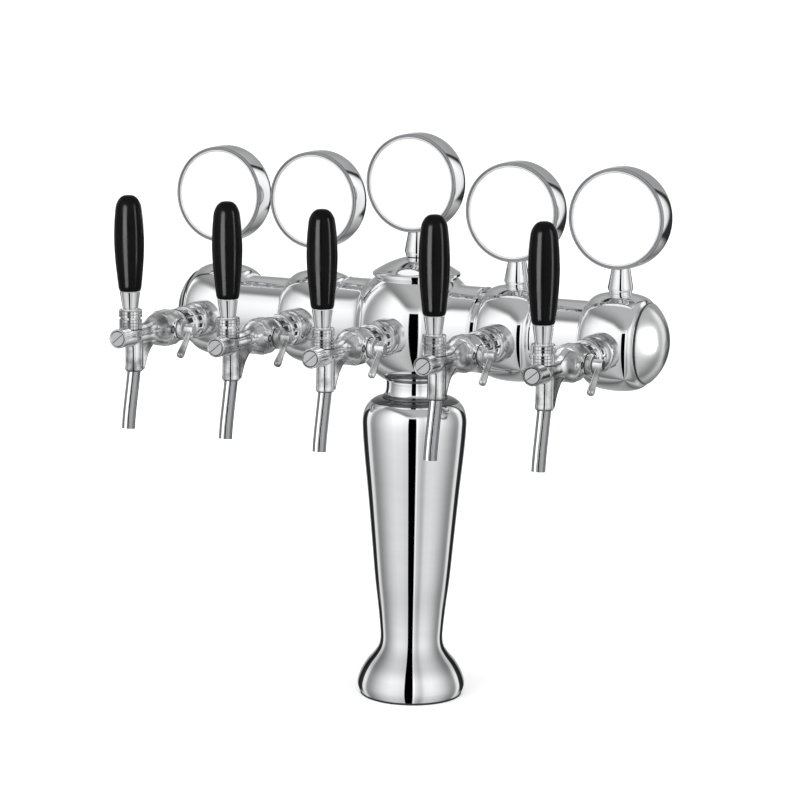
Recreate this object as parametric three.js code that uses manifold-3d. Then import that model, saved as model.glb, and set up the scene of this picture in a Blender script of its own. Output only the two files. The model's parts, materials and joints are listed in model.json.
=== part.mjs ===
// Five-tap beer tower: a column that flares into a foot, a ball housing on a short neck, and a level
// arm of barrel-shaped drums, each drum with a compensator tap in front and a round medallion on top.
// Millimetres, +Z up. The origin is on the column's axis, on the counter. The taps face -Y.
import * as THREE from "three";
import { mergeVertices } from "three/addons/utils/BufferGeometryUtils.js";
import Module from "manifold-3d";

const wasm = await Module();
wasm.setup();

// Driving dimensions
const gap = 0.3; // between pieces that touch
const tapSpacing = 102;
const armZ = 356; // height of the arm's axis
const wall = 2.5; // thickness of the cast shells

const drum = { radius: 45, endRadius: 37, halfLength: 27.5 };
const armSegments = 16; // the same round every piece on the arm, so that spigots and holes line up
const armTube = { radius: 34.5, wall: 2.2, insert: 6 };
const ball = { radius: 59.3, centreZ: 357, neckRadius: 40, neckEnd: 72.2, spigot: 34.5, ledgeZ: 402 };
const endCap = { rise: 18, radius: 36.6, bulge: 4.7 };
const collar = { radius: 27, foot: 31.2, baseZ: 287.3, topZ: 304.1, bore: 21.6 };
const base = { gasket: 1.9, gasketInner: 42.4, radius: 48.4 };
const clamp = { inner: 32, outer: 45.4, height: 6, holeCircle: 38, holeRadius: 3.3 };
const medallion = { radius: 46.3, face: 41.1, front: -17, back: 8.5, centreZ: 468.4, segments: 16 };
const stem = { bottom: 11.7, top: 8.2, stud: 4, studLength: 9 };
const middleRise = 21.2; // the middle medallion stands on the top cap, this much higher
const middleReach = 12.7; // the middle tap stands this much further forward, on the ball

const tapZ = 352; // height of a tap's horizontal axis
const barrel = { front: -200, radius: 8.8, bore: 6.2, boreFront: -193.5, seatY: -145.8 };
const chest = { centreY: -115, radius: 16.5, rear: -98.3 }; // the wide part that holds the compensator
const handle = { y: -176.6, pivotZ: 373.5, ball: 7.6, lean: 1.8, tailLength: 17 };
const bonnet = { radius: 10.4, bottomZ: 359, topZ: 376.6, bore: 8 };
const ferrule = { bottom: 7.2, top: 9.4, bottomZ: 377.4, topZ: 393.4, stud: 4, studLength: 26 };
const grip = { bottom: 9.7, widest: 13.6, top: 10.6, bottomZ: 393.7, topZ: 481.1 };
const socket = { y: -170.8, radius: 7.7, bottomZ: 319.5 };
const spout = { radius: 6, bore: 4.6, tipY: -181, tipZ: 267 };
const boss = { radius: 9.4, end: 21.7 };
const flowArm = { hubX: 27, hubRadius: 5.2, length: 28, radius: 2.7, angle: 41, shaft: 2.9 };
const shank = { flange: 17.6, tube: 9, bore: 4, rear: -28 };

const chrome = { color: 0xd9dadc, roughness: 0.08, metalness: 1 };
const steel = { color: 0xc4c6c8, roughness: 0.25, metalness: 1 };
const blackPlastic = { color: 0x0c0c0d, roughness: 0.2, metalness: 0 };
const blackRubber = { color: 0x1b1b1c, roughness: 0.8, metalness: 0 };
const whitePlastic = { color: 0xf7f7f5, roughness: 0.35, metalness: 0 };

const tower = new THREE.Group();
const radians = THREE.MathUtils.degToRad;

// A closed geometry as a manifold-3d solid.
function solid(geometry) {
  const bare = geometry.clone();
  bare.deleteAttribute("normal");
  bare.deleteAttribute("uv");
  const merged = mergeVertices(bare, 1e-4);
  return new wasm.Manifold(
    new wasm.Mesh({
      numProp: 3,
      vertProperties: merged.attributes.position.array,
      triVerts: new Uint32Array(merged.index.array),
    }),
  );
}

// Adds a node to the tower.
function addNode(name, shape, finish, parent = tower) {
  const data = shape.getMesh();
  const geometry = new THREE.BufferGeometry();
  geometry.setAttribute("position", new THREE.BufferAttribute(data.vertProperties, 3));
  geometry.setIndex(new THREE.BufferAttribute(data.triVerts, 1));
  const mesh = new THREE.Mesh(geometry, new THREE.MeshStandardMaterial(finish));
  mesh.name = name;
  parent.add(mesh);
}

// Turns a profile of [radius, along] points about Y, Z or X, through the point at.
function turned(axis, profile, segments, at = [0, 0, 0]) {
  const doubled = profile.reduce((sum, [r, a], i) => {
    const [nextR, nextA] = profile[(i + 1) % profile.length];
    return sum + r * nextA - nextR * a;
  }, 0);
  const points = profile.map(([r, a]) => new THREE.Vector2(r, a));
  if (doubled < 0) points.reverse();
  if (profile[0][0] > 0) points.push(points[0].clone());
  const geometry = new THREE.LatheGeometry(points, segments);
  if (axis === "z") geometry.rotateX(Math.PI / 2);
  if (axis === "x") geometry.rotateZ(-Math.PI / 2);
  return solid(geometry.translate(...at));
}

// A straight round bar along an axis, from one coordinate to the other.
function bar(axis, radius, from, to, segments, at = [0, 0, 0]) {
  return turned(axis, [[0, from], [radius, from], [radius, to], [0, to]], segments, at);
}

function box(low, high) {
  const size = high.map((value, i) => value - low[i]);
  const centre = high.map((value, i) => (value + low[i]) / 2);
  return solid(new THREE.BoxGeometry(...size).translate(...centre));
}

// Points on a circular arc that bulges by rise, from one [radius, along] point to the other.
function arc([r0, a0], [r1, a1], rise, steps) {
  const chord = Math.hypot(r1 - r0, a1 - a0);
  const arcRadius = (chord * chord / 4 + rise * rise) / (2 * rise);
  const half = Math.asin(chord / 2 / arcRadius);
  return Array.from({ length: steps + 1 }, (_, i) => {
    const turn = half * (2 * i / steps - 1);
    const along = 0.5 + Math.sin(turn) * arcRadius / chord;
    const out = rise - arcRadius * (1 - Math.cos(turn));
    const push = out / chord;
    return [r0 + (r1 - r0) * along + (a1 - a0) * push, a0 + (a1 - a0) * along - (r1 - r0) * push];
  });
}

// ---- Foot and column

function ringAboutZ(inner, outer, low, high) {
  return turned("z", [[inner, low], [outer, low], [outer, high], [inner, high]], 20);
}

function makeBase() {
  addNode("base_gasket", ringAboutZ(base.gasketInner, base.radius, 0, base.gasket), blackRubber);
  const low = base.gasket + gap;
  const high = low + clamp.height;
  let ring = ringAboutZ(clamp.inner, clamp.outer, low, high);
  for (let i = 0; i < 3; i += 1) {
    const turn = radians(30 + 120 * i);
    const place = [clamp.holeCircle * Math.cos(turn), clamp.holeCircle * Math.sin(turn), 0];
    ring = ring.subtract(bar("z", clamp.holeRadius, low - 1, high + 1, 8, place));
  }
  addNode("clamp_ring", ring, steel);
}

function makeColumn() {
  const outside = [
    [48.6, 2.2], [51.2, 6], [50.3, 13], [47.6, 22], [35.6, 39], [31.2, 46], [29.6, 54],
    [30.2, 66], [35.5, 112], [43.2, 195], [47.6, 238], [49.2, 262], [48.4, 271], [45.6, 278.5],
    [34.5, 286.9], [27.4, 287],
  ];
  const inside = [
    [27.4, 284], [33.8, 283.8], [43.2, 276], [46.4, 262], [45, 238], [32.8, 112], [27.5, 66], [27, 54],
    [28.6, 45], [45.6, 19], [47.6, 12], [46.2, 2.2],
  ];
  addNode("column_shell", turned("z", [...outside, ...inside], 20), chrome);
}

function makeNeck() {
  const profile = [
    [collar.bore, 280], [27, 280], [27, collar.baseZ], [collar.foot, collar.baseZ],
    [28.8, 290.5], [collar.radius, 295.5], [collar.radius, collar.topZ],
    [23.7, collar.topZ], [23.7, 310], [collar.bore, 310],
  ];
  addNode("neck_collar", turned("z", profile, 16), chrome);
}

// ---- Ball housing and its cap

function makeBall() {
  const at = [0, 0, ball.centreZ];
  const outer = new THREE.SphereGeometry(ball.radius, 20, 12).rotateX(Math.PI / 2).translate(...at);
  const inner = new THREE.SphereGeometry(ball.radius - 3, 14, 8).rotateX(Math.PI / 2).translate(...at);
  const axis = [0, 0, armZ];
  const spigotEnd = ball.neckEnd + 9;
  let housing = solid(outer)
    .add(bar("x", ball.neckRadius, -ball.neckEnd, ball.neckEnd, armSegments, axis))
    .add(bar("x", ball.spigot, -spigotEnd, spigotEnd, armSegments, axis))
    .subtract(solid(inner))
    .subtract(bar("x", ball.spigot - wall, -spigotEnd - 1, spigotEnd + 1, armSegments, axis))
    .subtract(bar("z", 60, ball.ledgeZ, 430, 8))
    .subtract(bar("z", 36, 380, 430, 16))
    .subtract(bar("z", collar.radius + 0.4, 280, collar.topZ + gap, 20))
    .subtract(bar("z", 24.2, 290, 330, 20))
    .subtract(bar("y", shank.tube + 0.4, -70, -40, 12, [0, 0, tapZ]));
  addNode("centre_housing", housing, chrome);

  const rim = ball.ledgeZ + gap;
  const outside = [[41.1, rim + 0.8], [41.1, rim + 3.2], ...arc([39.6, rim + 4.8], [0, 421.6], 2.6, 5)];
  const inside = [
    [0, 418.6], [16, 416.6], [28, 410.4], [33, 405.4], [33, 396], [35.6, 396], [35.6, rim], [40, rim],
  ];
  const profile = [...inside, ...outside];
  const studHole = bar("z", stem.stud + 0.4, 410, 430, 10);
  addNode("top_cap", turned("z", profile, 16).subtract(studHole), chrome);
}

// ---- Arm: drums, the tubes between them, and the end caps

// The drum's barrel profile, grown outwards by extra.
function drumProfile(extra, steps) {
  const end = drum.endRadius + extra;
  return arc([end, -drum.halfLength], [end, drum.halfLength], drum.radius - drum.endRadius, steps);
}

function makeDrum(name, x) {
  const outside = drumProfile(0, 6);
  const inside = drumProfile(-wall, 3).reverse().map(([r, a]) => [r, a * (1 - wall / drum.halfLength)]);
  const holeRadius = armTube.radius + gap;
  const left = -drum.halfLength;
  const lip = left + wall;
  const ends = [[holeRadius, -left], [holeRadius, -lip]];
  const starts = [[holeRadius, lip], [holeRadius, left]];
  const shell = turned("x", [...outside, ...ends, ...inside.filter(([r]) => r > holeRadius + 0.2), ...starts],
    armSegments, [x, 0, armZ]);
  const cut = shell
    .subtract(bar("y", shank.tube + 0.4, -50, -30, 12, [x, 0, tapZ]))
    .subtract(bar("z", stem.stud + 0.4, armZ + 30, armZ + 50, 10, [x, 0, 0]));
  addNode(name, cut, chrome);
}

function makeArm(side, sign) {
  const inner = tapSpacing + drum.halfLength - armTube.insert;
  const outer = 2 * tapSpacing - drum.halfLength + armTube.insert;
  const bore = armTube.radius - armTube.wall;
  const tube = [[bore, inner], [armTube.radius, inner], [armTube.radius, outer], [bore, outer]];
  const onArm = (profile) => turned("x", profile.map(([r, a]) => [r, a * sign]), armSegments, [0, 0, armZ]);
  addNode(side + "_arm_tube", onArm(tube), chrome);

  const seat = 2 * tapSpacing + drum.halfLength + gap;
  const dome = arc([endCap.radius, seat + 0.4], [0, seat + endCap.rise], endCap.bulge, 4);
  const cup = [[0, seat + endCap.rise - wall], [20, seat + 9], [30, seat + 2], [32, seat - 7],
    [armTube.radius, seat - 7], [armTube.radius, seat], [endCap.radius, seat]];
  addNode(side + "_end_cap", onArm([...cup, ...dome]), chrome);
}

// The rigid cooling line: up the column and along the arm, closed at both ends of the arm.
function makeCoolingLine() {
  const reach = 2 * tapSpacing + 10;
  const riser = [0, 12, 0];
  const run = [0, 12, armZ + 8];
  const line = bar("z", 5, 10, armZ + 8, 10, riser)
    .add(bar("x", 5, -reach, reach, 10, run))
    .subtract(bar("z", 3.8, 9, armZ + 8, 10, riser))
    .subtract(bar("x", 3.8, 1.2 - reach, reach - 1.2, 10, run));
  addNode("cooling_line", line, steel);
}

// ---- Medallions

function makeMedallion(number, x, rise) {
  const at = [x, 0, medallion.centreZ + rise];
  const { radius, face, front, back, segments } = medallion;
  const innerRadius = radius - 2.1;
  const lip = front + 1.1;
  const cup = [
    [0, back], [radius - 1, back], [radius, back - 1], [radius, front + 0.8], [radius - 0.7, front],
    [face, front], [face, lip], [innerRadius, lip], [innerRadius, back - 2], [0, back - 2],
  ];
  const stemTop = at[2] - radius + 1.6;
  const stemFoot = armZ + drum.radius + rise + gap + (rise > 0 ? -0.4 : 0);
  const post = [
    [0, stemFoot - stem.studLength], [stem.stud, stemFoot - stem.studLength], [stem.stud, stemFoot + 0.4],
    [stem.bottom - 1.4, stemFoot + 0.4], [stem.bottom, stemFoot + 2.6], [stem.top, stemTop], [0, stemTop],
  ];
  const housing = turned("y", cup, segments, at).add(turned("z", post, 8, [x, 0, 0]));
  addNode("medallion_housing_" + number, housing, chrome);
  const lens = bar("y", innerRadius - gap, lip + gap, lip + gap + 3, segments, at);
  addNode("medallion_face_" + number, lens, whitePlastic);
}

// ---- Taps. Each is made in its own group, with x = 0 in the tap's plane of symmetry.

function tapBody() {
  const axis = [0, 0, tapZ];
  const outside = [
    [0, barrel.front], [barrel.radius, barrel.front], [barrel.radius, -160], [11.4, -143],
    [15.4, -127], [chest.radius, -119], [chest.radius, -108], [14.9, chest.rear], [0, chest.rear],
  ];
  const webFoot = socket.bottomZ + 0.4;
  const webSide = [
    [-171, 346], [-141, 346], [-145, 338], [-150, 330], [-153.5, webFoot], [-166, webFoot],
  ];
  const web = new THREE.Shape(webSide.map(([y, z]) => new THREE.Vector2(y, z)));
  const webSolid = new THREE.ExtrudeGeometry(web, { depth: 9, bevelEnabled: false })
    .rotateX(Math.PI / 2).rotateZ(Math.PI / 2).translate(4.5, 0, 0);
  const cupFloor = bonnet.topZ - 4.2;
  const cupRim = bonnet.topZ + 0.2;
  const cup = [[0, cupFloor], [bonnet.bore, cupFloor], [10.3, cupRim], [0, cupRim]];
  const at = [0, handle.y, 0];
  return turned("y", outside, 12, axis)
    .add(bar("z", 9.3, tapZ, bonnet.bottomZ + 1, 10, at))
    .add(bar("z", bonnet.radius, bonnet.bottomZ, bonnet.topZ, 10, at))
    .add(bar("z", socket.radius, socket.bottomZ, tapZ, 10, [0, socket.y, 0]))
    .add(solid(webSolid))
    .add(bar("x", boss.radius, 0, boss.end, 10, [0, chest.centreY, tapZ]))
    .subtract(bar("y", barrel.bore, barrel.boreFront, barrel.seatY, 10, axis))
    .subtract(bar("y", 8.5, barrel.seatY, -128, 8, axis))
    .subtract(bar("y", 5, -129, -90, 6, axis))
    .subtract(bar("z", bonnet.bore, 361, bonnet.topZ + 1, 10, at))
    .subtract(turned("z", cup, 10, at))
    .subtract(box([-2.7, handle.y - 5.6, tapZ], [2.7, handle.y + 9.3, 361.5]))
    .subtract(bar("z", 3.6, 330, tapZ, 6, [0, socket.y, 0]))
    .subtract(bar("z", spout.radius + 0.6, 310, 334, 10, [0, socket.y, 0]))
    .subtract(bar("x", flowArm.shaft + gap, 8, 30, 8, [0, chest.centreY, tapZ]));
}

function tapPiston() {
  const y = handle.y;
  const profile = [
    [0, -189.8], [5.8, -189.8], [5.8, y - 2.8], [2, y - 2.8], [2, y + 2.8], [5, y + 2.8],
    [5, y + 4.5], [2.6, y + 4.5], [2.6, -152], [5.8, -152], [5.8, -146.4], [0, -146.4],
  ];
  return turned("y", profile, 8, [0, 0, tapZ]);
}

function tapLever() {
  const at = [0, handle.y, 0];
  const tailZ = handle.pivotZ - handle.tailLength;
  const pin = new THREE.SphereGeometry(2.2, 6, 4).translate(0, handle.y, tailZ);
  const joint = new THREE.SphereGeometry(handle.ball, 8, 5).rotateX(Math.PI / 2)
    .translate(0, handle.y, handle.pivotZ);
  const cone = [[0, 374], [ferrule.bottom, ferrule.bottomZ], [ferrule.top, ferrule.topZ], [0, ferrule.topZ]];
  return turned("z", cone, 10, at)
    .add(bar("z", ferrule.stud, ferrule.topZ - 2, ferrule.topZ + ferrule.studLength, 6, at))
    .add(solid(joint))
    .add(bar("z", 1.7, tailZ, handle.pivotZ, 6, at))
    .add(solid(pin));
}

function tapGrip() {
  const { bottom, widest, top, bottomZ, topZ } = grip;
  const bore = ferrule.stud + gap;
  const boreTop = ferrule.topZ + ferrule.studLength + 1;
  const profile = [
    [0, boreTop], [bore, boreTop], [bore, bottomZ], [bottom, bottomZ], [11.6, bottomZ + 16],
    [13.3, bottomZ + 36], [widest, bottomZ + 46], [12.9, bottomZ + 64], [top, topZ - 4.6], [7.6, topZ - 0.6],
    [0, topZ],
  ];
  return turned("z", profile, 10, [0, handle.y, 0]);
}

function tapSpout() {
  const points = [[-170.8, 333], [-170.9, 320], [-174.6, 304], [-179, 285], [spout.tipY, spout.tipZ]];
  const path = new THREE.CatmullRomCurve3(points.map(([y, z]) => new THREE.Vector3(0, y, z)));
  const ring = new THREE.Shape().absarc(0, 0, spout.radius, 0, 2 * Math.PI);
  ring.holes.push(new THREE.Path().absarc(0, 0, spout.bore, 0, 2 * Math.PI, true));
  return solid(new THREE.ExtrudeGeometry(ring, { steps: 6, curveSegments: 4, extrudePath: path }));
}

function tapFlowLever() {
  const at = [0, chest.centreY, tapZ];
  const { hubX, hubRadius, length, radius, angle, shaft } = flowArm;
  const rod = new THREE.CapsuleGeometry(radius, length, 2, 8).translate(0, -length / 2, 0)
    .rotateX(Math.PI / 2).rotateX(radians(-angle)).translate(hubX, chest.centreY, tapZ);
  return bar("x", hubRadius, boss.end + gap, hubX + 4, 10, at)
    .add(bar("x", shaft, 9, boss.end + 2, 8, at))
    .add(solid(rod));
}

// The shank: a saddle flange on the shell, a slotted coupling nut, and the tube through the shell.
function tapShank(seatCut) {
  const axis = [0, 0, tapZ];
  const front = chest.rear + gap;
  const { flange, tube, bore, rear } = shank;
  const nut = [
    [0, front], [14.8, front], [14.8, -82.6], [16.2, -82.6], [16.2, -79.6], [15, -79.6], [15, -66.6],
    [flange, -58], [flange, -30], [0, -30],
  ];
  return turned("y", nut, 12, axis)
    .subtract(seatCut)
    .add(bar("y", tube, -60, rear, 8, axis))
    .subtract(bar("y", bore, front - 1, rear + 1, 6, axis));
}

function makeTap(number, x, shift, seatCut) {
  const tap = new THREE.Group();
  tap.position.set(x, -shift, 0);
  tower.add(tap);
  addNode("tap_body_" + number, tapBody(), chrome, tap);
  addNode("tap_piston_" + number, tapPiston(), steel, tap);
  addNode("tap_shank_" + number, tapShank(seatCut), chrome, tap);
  addNode("tap_spout_" + number, tapSpout(), steel, tap);
  addNode("flow_lever_" + number, tapFlowLever(), chrome, tap);

  const leaning = new THREE.Group();
  leaning.position.set(0, handle.y, handle.pivotZ);
  leaning.rotation.x = radians(handle.lean);
  const upright = new THREE.Group();
  upright.position.set(0, -handle.y, -handle.pivotZ);
  leaning.add(upright);
  tap.add(leaning);
  addNode("handle_lever_" + number, tapLever(), chrome, upright);
  addNode("handle_grip_" + number, tapGrip(), blackPlastic, upright);
}

// ---- The whole tower

makeBase();
makeColumn();
makeNeck();
makeBall();
["left", "right"].forEach((side, i) => {
  const sign = i ? 1 : -1;
  makeDrum(side + "_inner_drum", sign * tapSpacing);
  makeDrum(side + "_outer_drum", sign * 2 * tapSpacing);
  makeArm(side, sign);
});
makeCoolingLine();

const drumSeat = turned("x", [[0, -30], ...drumProfile(gap, 6), [0, 30]], armSegments, [0, 0, armZ]);
const ballSeat = solid(
  new THREE.SphereGeometry(ball.radius + gap, 20, 12).rotateX(Math.PI / 2)
    .translate(0, middleReach, ball.centreZ),
);
for (let i = 0; i < 5; i += 1) {
  const x = (i - 2) * tapSpacing;
  const middle = i === 2;
  makeTap(i + 1, x, middle ? middleReach : 0, middle ? ballSeat : drumSeat);
  makeMedallion(i + 1, x, middle ? middleRise : 0);
}

export default tower;
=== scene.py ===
# Beer tower with five taps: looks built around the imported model.
# Outlines are in millimetres, as [radius, along] rows or [y, z] rows in the tower's own frame.
import json
import math
import bmesh
import bpy
from mathutils import Matrix, Quaternion, Vector
from mathutils.geometry import interpolate_bezier

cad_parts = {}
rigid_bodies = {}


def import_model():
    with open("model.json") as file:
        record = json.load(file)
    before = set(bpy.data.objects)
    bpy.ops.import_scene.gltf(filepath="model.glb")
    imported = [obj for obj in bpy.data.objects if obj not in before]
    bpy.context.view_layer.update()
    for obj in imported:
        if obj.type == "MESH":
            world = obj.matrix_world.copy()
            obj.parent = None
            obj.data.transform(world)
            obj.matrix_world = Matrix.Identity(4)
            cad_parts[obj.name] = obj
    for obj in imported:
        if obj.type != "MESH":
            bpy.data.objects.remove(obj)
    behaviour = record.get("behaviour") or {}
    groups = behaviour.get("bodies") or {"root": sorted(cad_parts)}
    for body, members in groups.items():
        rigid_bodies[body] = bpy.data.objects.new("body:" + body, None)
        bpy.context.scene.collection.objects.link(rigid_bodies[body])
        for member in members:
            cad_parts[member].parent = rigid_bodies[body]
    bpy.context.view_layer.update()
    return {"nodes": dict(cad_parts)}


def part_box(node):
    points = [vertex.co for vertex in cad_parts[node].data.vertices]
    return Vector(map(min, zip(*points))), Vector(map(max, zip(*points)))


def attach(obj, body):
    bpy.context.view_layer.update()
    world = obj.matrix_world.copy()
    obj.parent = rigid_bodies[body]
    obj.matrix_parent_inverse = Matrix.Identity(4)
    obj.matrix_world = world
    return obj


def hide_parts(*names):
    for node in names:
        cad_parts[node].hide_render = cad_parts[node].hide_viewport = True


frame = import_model()
mm = 0.001
taps = range(1, 6)

print("frame loaded:", len(frame["nodes"]), "nodes")


# Shader maths.

class Wire:
    # a node's output, or anything that can be worked out from it

    def __init__(self, tree, socket):
        self.tree = tree
        self.socket = socket

    def maths(self, operation, first, second=None):
        values = [first] if second is None else [first, second]
        return addNode(self.tree, "ShaderNodeMath", {"operation": operation}, dict(enumerate(values)))

    def __add__(self, other):
        return self.maths("ADD", self, other)

    def __radd__(self, other):
        return self.maths("ADD", other, self)

    def __sub__(self, other):
        return self.maths("SUBTRACT", self, other)

    def __rsub__(self, other):
        return self.maths("SUBTRACT", other, self)

    def __mul__(self, other):
        return self.maths("MULTIPLY", self, other)

    def __rmul__(self, other):
        return self.maths("MULTIPLY", other, self)

    def __truediv__(self, other):
        return self.maths("DIVIDE", self, other)

    def __abs__(self):
        return self.maths("ABSOLUTE", self)

    def ease(self, low, high, start=0.0, end=1.0):
        # goes smoothly from start to end while this value goes from low to high
        return addNode(self.tree, "ShaderNodeMapRange", {"interpolation_type": "SMOOTHSTEP"},
                       {0: self, 1: low, 2: high, 3: start, 4: end})


def addNode(tree, kind, settings=None, values=None, output=0):
    node = tree.nodes.new(kind)
    for name, value in (settings or {}).items():
        if name == "stops":
            for extra in range(len(value) - 2):
                node.color_ramp.elements.new(0.5)
            for element, (place, shade) in zip(node.color_ramp.elements, value):
                element.position = place
                element.color = (shade, shade, shade, 1)
        else:
            setattr(node, name, value)
    for name, value in (values or {}).items():
        if isinstance(value, Wire):
            tree.links.new(value.socket, node.inputs[name])
        else:
            node.inputs[name].default_value = value
    return Wire(tree, node.outputs[output])


# Camera, studio and floor.

cameraSet = {
    "aim": Vector((-0.0156, 0, 0.2827)),
    "azimuth": math.radians(25.864),
    "elevation": math.radians(9.803),
    "roll": math.radians(0.773),
    "distance": 2.5661,
    "lens": 122.2,
}


def makeCamera(s):
    data = bpy.data.cameras.new("towerCamera")
    data.lens = s["lens"]
    data.sensor_width = 36
    data.clip_end = 200
    camera = bpy.data.objects.new("towerCamera", data)
    bpy.context.collection.objects.link(camera)
    level = math.cos(s["elevation"])
    away = Vector((math.sin(s["azimuth"]) * level, -math.cos(s["azimuth"]) * level,
                   math.sin(s["elevation"])))
    camera.location = s["aim"] + away * s["distance"]
    camera.rotation_mode = "QUATERNION"
    camera.rotation_quaternion = away.to_track_quat("Z", "Y") @ Quaternion((0, 0, 1), s["roll"])
    bpy.context.scene.camera = camera


# What the polished metal mirrors: two wide soft panels in front with a black gap between them, narrow dark
# flags at the back, and a grey ceiling whose edge runs at a slant. Turns and heights are in degrees, with
# turn 0 towards the camera. A pair is where a change starts and ends, or a low and a high value.
studioSet = {
    "wallStops": [(0.0, 0.84), (0.11, 0.86), (0.17, 0.95), (0.26, 0.98), (0.35, 0.84), (0.43, 0.64),
                  (0.5, 0.44), (0.56, 0.32), (0.61, 0.34), (0.655, 0.85), (0.7, 0.95), (0.73, 0.7),
                  (0.87, 0.22), (0.95, 0.5), (1.0, 0.62)],
    "heightStops": [(0.0, 0.55), (0.2, 0.58), (0.33, 0.7), (0.43, 0.98), (0.54, 1.14), (0.66, 1.3),
                    (1.0, 1.2)],
    "rightLine": (6.5, 3.2, 0.35),  # middle, reach and change of light
    "rightDip": (21, 13, -0.2),
    "gap": (-14, 4), "gapTop": 27, "gapEdge": 0.5,
    "flagShift": (-12, 16), "flagTurn": (143.5, 135.5), "flagHalf": (14, 3), "flagEdge": 2,
    "flagFoot": (-23, -18), "flagTop": (58, 72), "flagDark": 0.95,
    "backTurn": (136, 142), "backHeight": (4, 14), "backShade": 0.36,
    "ceilingPlane": (0.777, -0.161, 0.607), "ceilingEdge": (-0.12, 0.06), "ceilingRise": (0.404, 0.654),
    "ceilingFade": (0.0, 0.4), "ceilingShade": (0.24, 0.5),
}


def makeStudio(s):
    world = bpy.data.worlds.new("studio")
    world.use_nodes = True
    tree = world.node_tree
    tree.nodes.clear()
    direction = Wire(tree, addNode(tree, "ShaderNodeTexCoord").socket.node.outputs["Generated"])
    front = cameraSet["azimuth"]

    def along(axis):
        return addNode(tree, "ShaderNodeVectorMath", {"operation": "DOT_PRODUCT"}, {0: direction, 1: axis}, 1)

    across = along((math.cos(front), math.sin(front), 0))
    ahead = along((math.sin(front), -math.cos(front), 0))
    up = along((0, 0, 1))
    azimuth = across.maths("ARCTAN2", across, ahead) * math.degrees(1)
    height = across.maths("ARCSINE", up) * math.degrees(1)
    turn = abs(azimuth)

    wall = addNode(tree, "ShaderNodeValToRGB", {"stops": s["wallStops"]}, {0: turn / 180})
    rise = addNode(tree, "ShaderNodeValToRGB", {"stops": s["heightStops"]}, {0: (height + 90) / 180})
    light = wall * rise
    for middleTurn, reach, change in (s["rightLine"], s["rightDip"]):
        light = light + change * abs(azimuth - middleTurn).ease(0, reach, 1, 0)

    backWall = turn.ease(*s["backTurn"]) * height.ease(*s["backHeight"])
    light = light * (1 - backWall) + s["backShade"] * backWall

    room = addNode(tree, "ShaderNodeCombineXYZ", None, {0: across, 1: ahead, 2: up})
    plane = addNode(tree, "ShaderNodeVectorMath", {"operation": "DOT_PRODUCT"},
                    {0: room, 1: s["ceilingPlane"]}, 1)
    ceiling = plane.ease(*s["ceilingEdge"]) * up.ease(*s["ceilingRise"])
    light = light * (1 - ceiling) + plane.ease(*s["ceilingFade"], *s["ceilingShade"]) * ceiling

    flagHalf = height.ease(*s["flagShift"], *s["flagHalf"])
    flagTurn = height.ease(*s["flagShift"], *s["flagTurn"])
    flag = 1 - (abs(turn - flagTurn) - flagHalf).ease(-s["flagEdge"], s["flagEdge"])
    flag = flag * height.ease(*s["flagTop"], 1, 0) * height.ease(*s["flagFoot"])
    light = light * (1 - flag * s["flagDark"])

    gapLow, gapHigh = s["gap"]
    edge = s["gapEdge"]
    gap = azimuth.ease(gapLow - edge, gapLow + edge) * azimuth.ease(gapHigh - edge, gapHigh + edge, 1, 0)
    gap = gap * height.ease(s["gapTop"] - edge, s["gapTop"] + edge, 1, 0)
    light = light * (1 - gap)

    background = tree.nodes.new("ShaderNodeBackground")
    tree.links.new(light.socket, background.inputs["Color"])
    output = tree.nodes.new("ShaderNodeOutputWorld")
    tree.links.new(background.outputs[0], output.inputs["Surface"])
    bpy.context.scene.world = world


floorSet = {"radius": 80, "shade": (0.95, 0.95, 0.95, 1), "roughness": 0.9, "glow": 0.22}
sunSet = {"energy": 2.5, "spread": math.radians(110), "tilt": math.radians(42), "turn": math.radians(12)}


def makeFloor(s):
    shape = bmesh.new()
    bmesh.ops.create_circle(shape, cap_ends=True, segments=64, radius=s["radius"])
    mesh = bpy.data.meshes.new("studioFloor")
    shape.to_mesh(mesh)
    floor = bpy.data.objects.new("studioFloor", mesh)
    bpy.context.collection.objects.link(floor)
    material = bpy.data.materials.new("paleFloor")
    material.use_nodes = True
    shader = material.node_tree.nodes["Principled BSDF"]
    shader.inputs["Base Color"].default_value = s["shade"]
    shader.inputs["Roughness"].default_value = s["roughness"]
    shader.inputs["Emission Color"].default_value = (1, 1, 1, 1)
    shader.inputs["Emission Strength"].default_value = s["glow"]
    mesh.materials.append(material)
    floor.visible_glossy = False


def makeSun(s):
    data = bpy.data.lights.new("softSun", "SUN")
    data.energy = s["energy"]
    data.angle = s["spread"]
    sun = bpy.data.objects.new("softSun", data)
    bpy.context.collection.objects.link(sun)
    sun.rotation_euler = (s["tilt"], 0, s["turn"])
    sun.visible_glossy = False


makeCamera(cameraSet)
makeStudio(studioSet)
makeFloor(floorSet)
makeSun(sunSet)
bpy.context.scene.view_settings.view_transform = "Standard"
print("camera and studio made")


# Finishes.

def startMaterial(name, **constants):
    material = bpy.data.materials.new(name)
    material.use_nodes = True
    tree = material.node_tree
    shader = tree.nodes["Principled BSDF"]
    for label, value in constants.items():
        shader.inputs[label.replace("_", " ")].default_value = value
    place = Wire(tree, addNode(tree, "ShaderNodeTexCoord").socket.node.outputs["Object"])
    return material, tree, shader, place


def noise(tree, place, scale, detail=2, stretch=(1, 1, 1)):
    placed = addNode(tree, "ShaderNodeMapping", None, {"Vector": place, "Scale": stretch})
    return addNode(tree, "ShaderNodeTexNoise", None, {"Vector": placed, "Scale": scale, "Detail": detail})


def feed(tree, shader, label, value):
    tree.links.new(value.socket, shader.inputs[label])


def tint(tree, mask, low, high):
    return addNode(tree, "ShaderNodeMix", {"data_type": "RGBA"}, {0: mask, 6: (*low, 1), 7: (*high, 1)}, 2)


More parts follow.
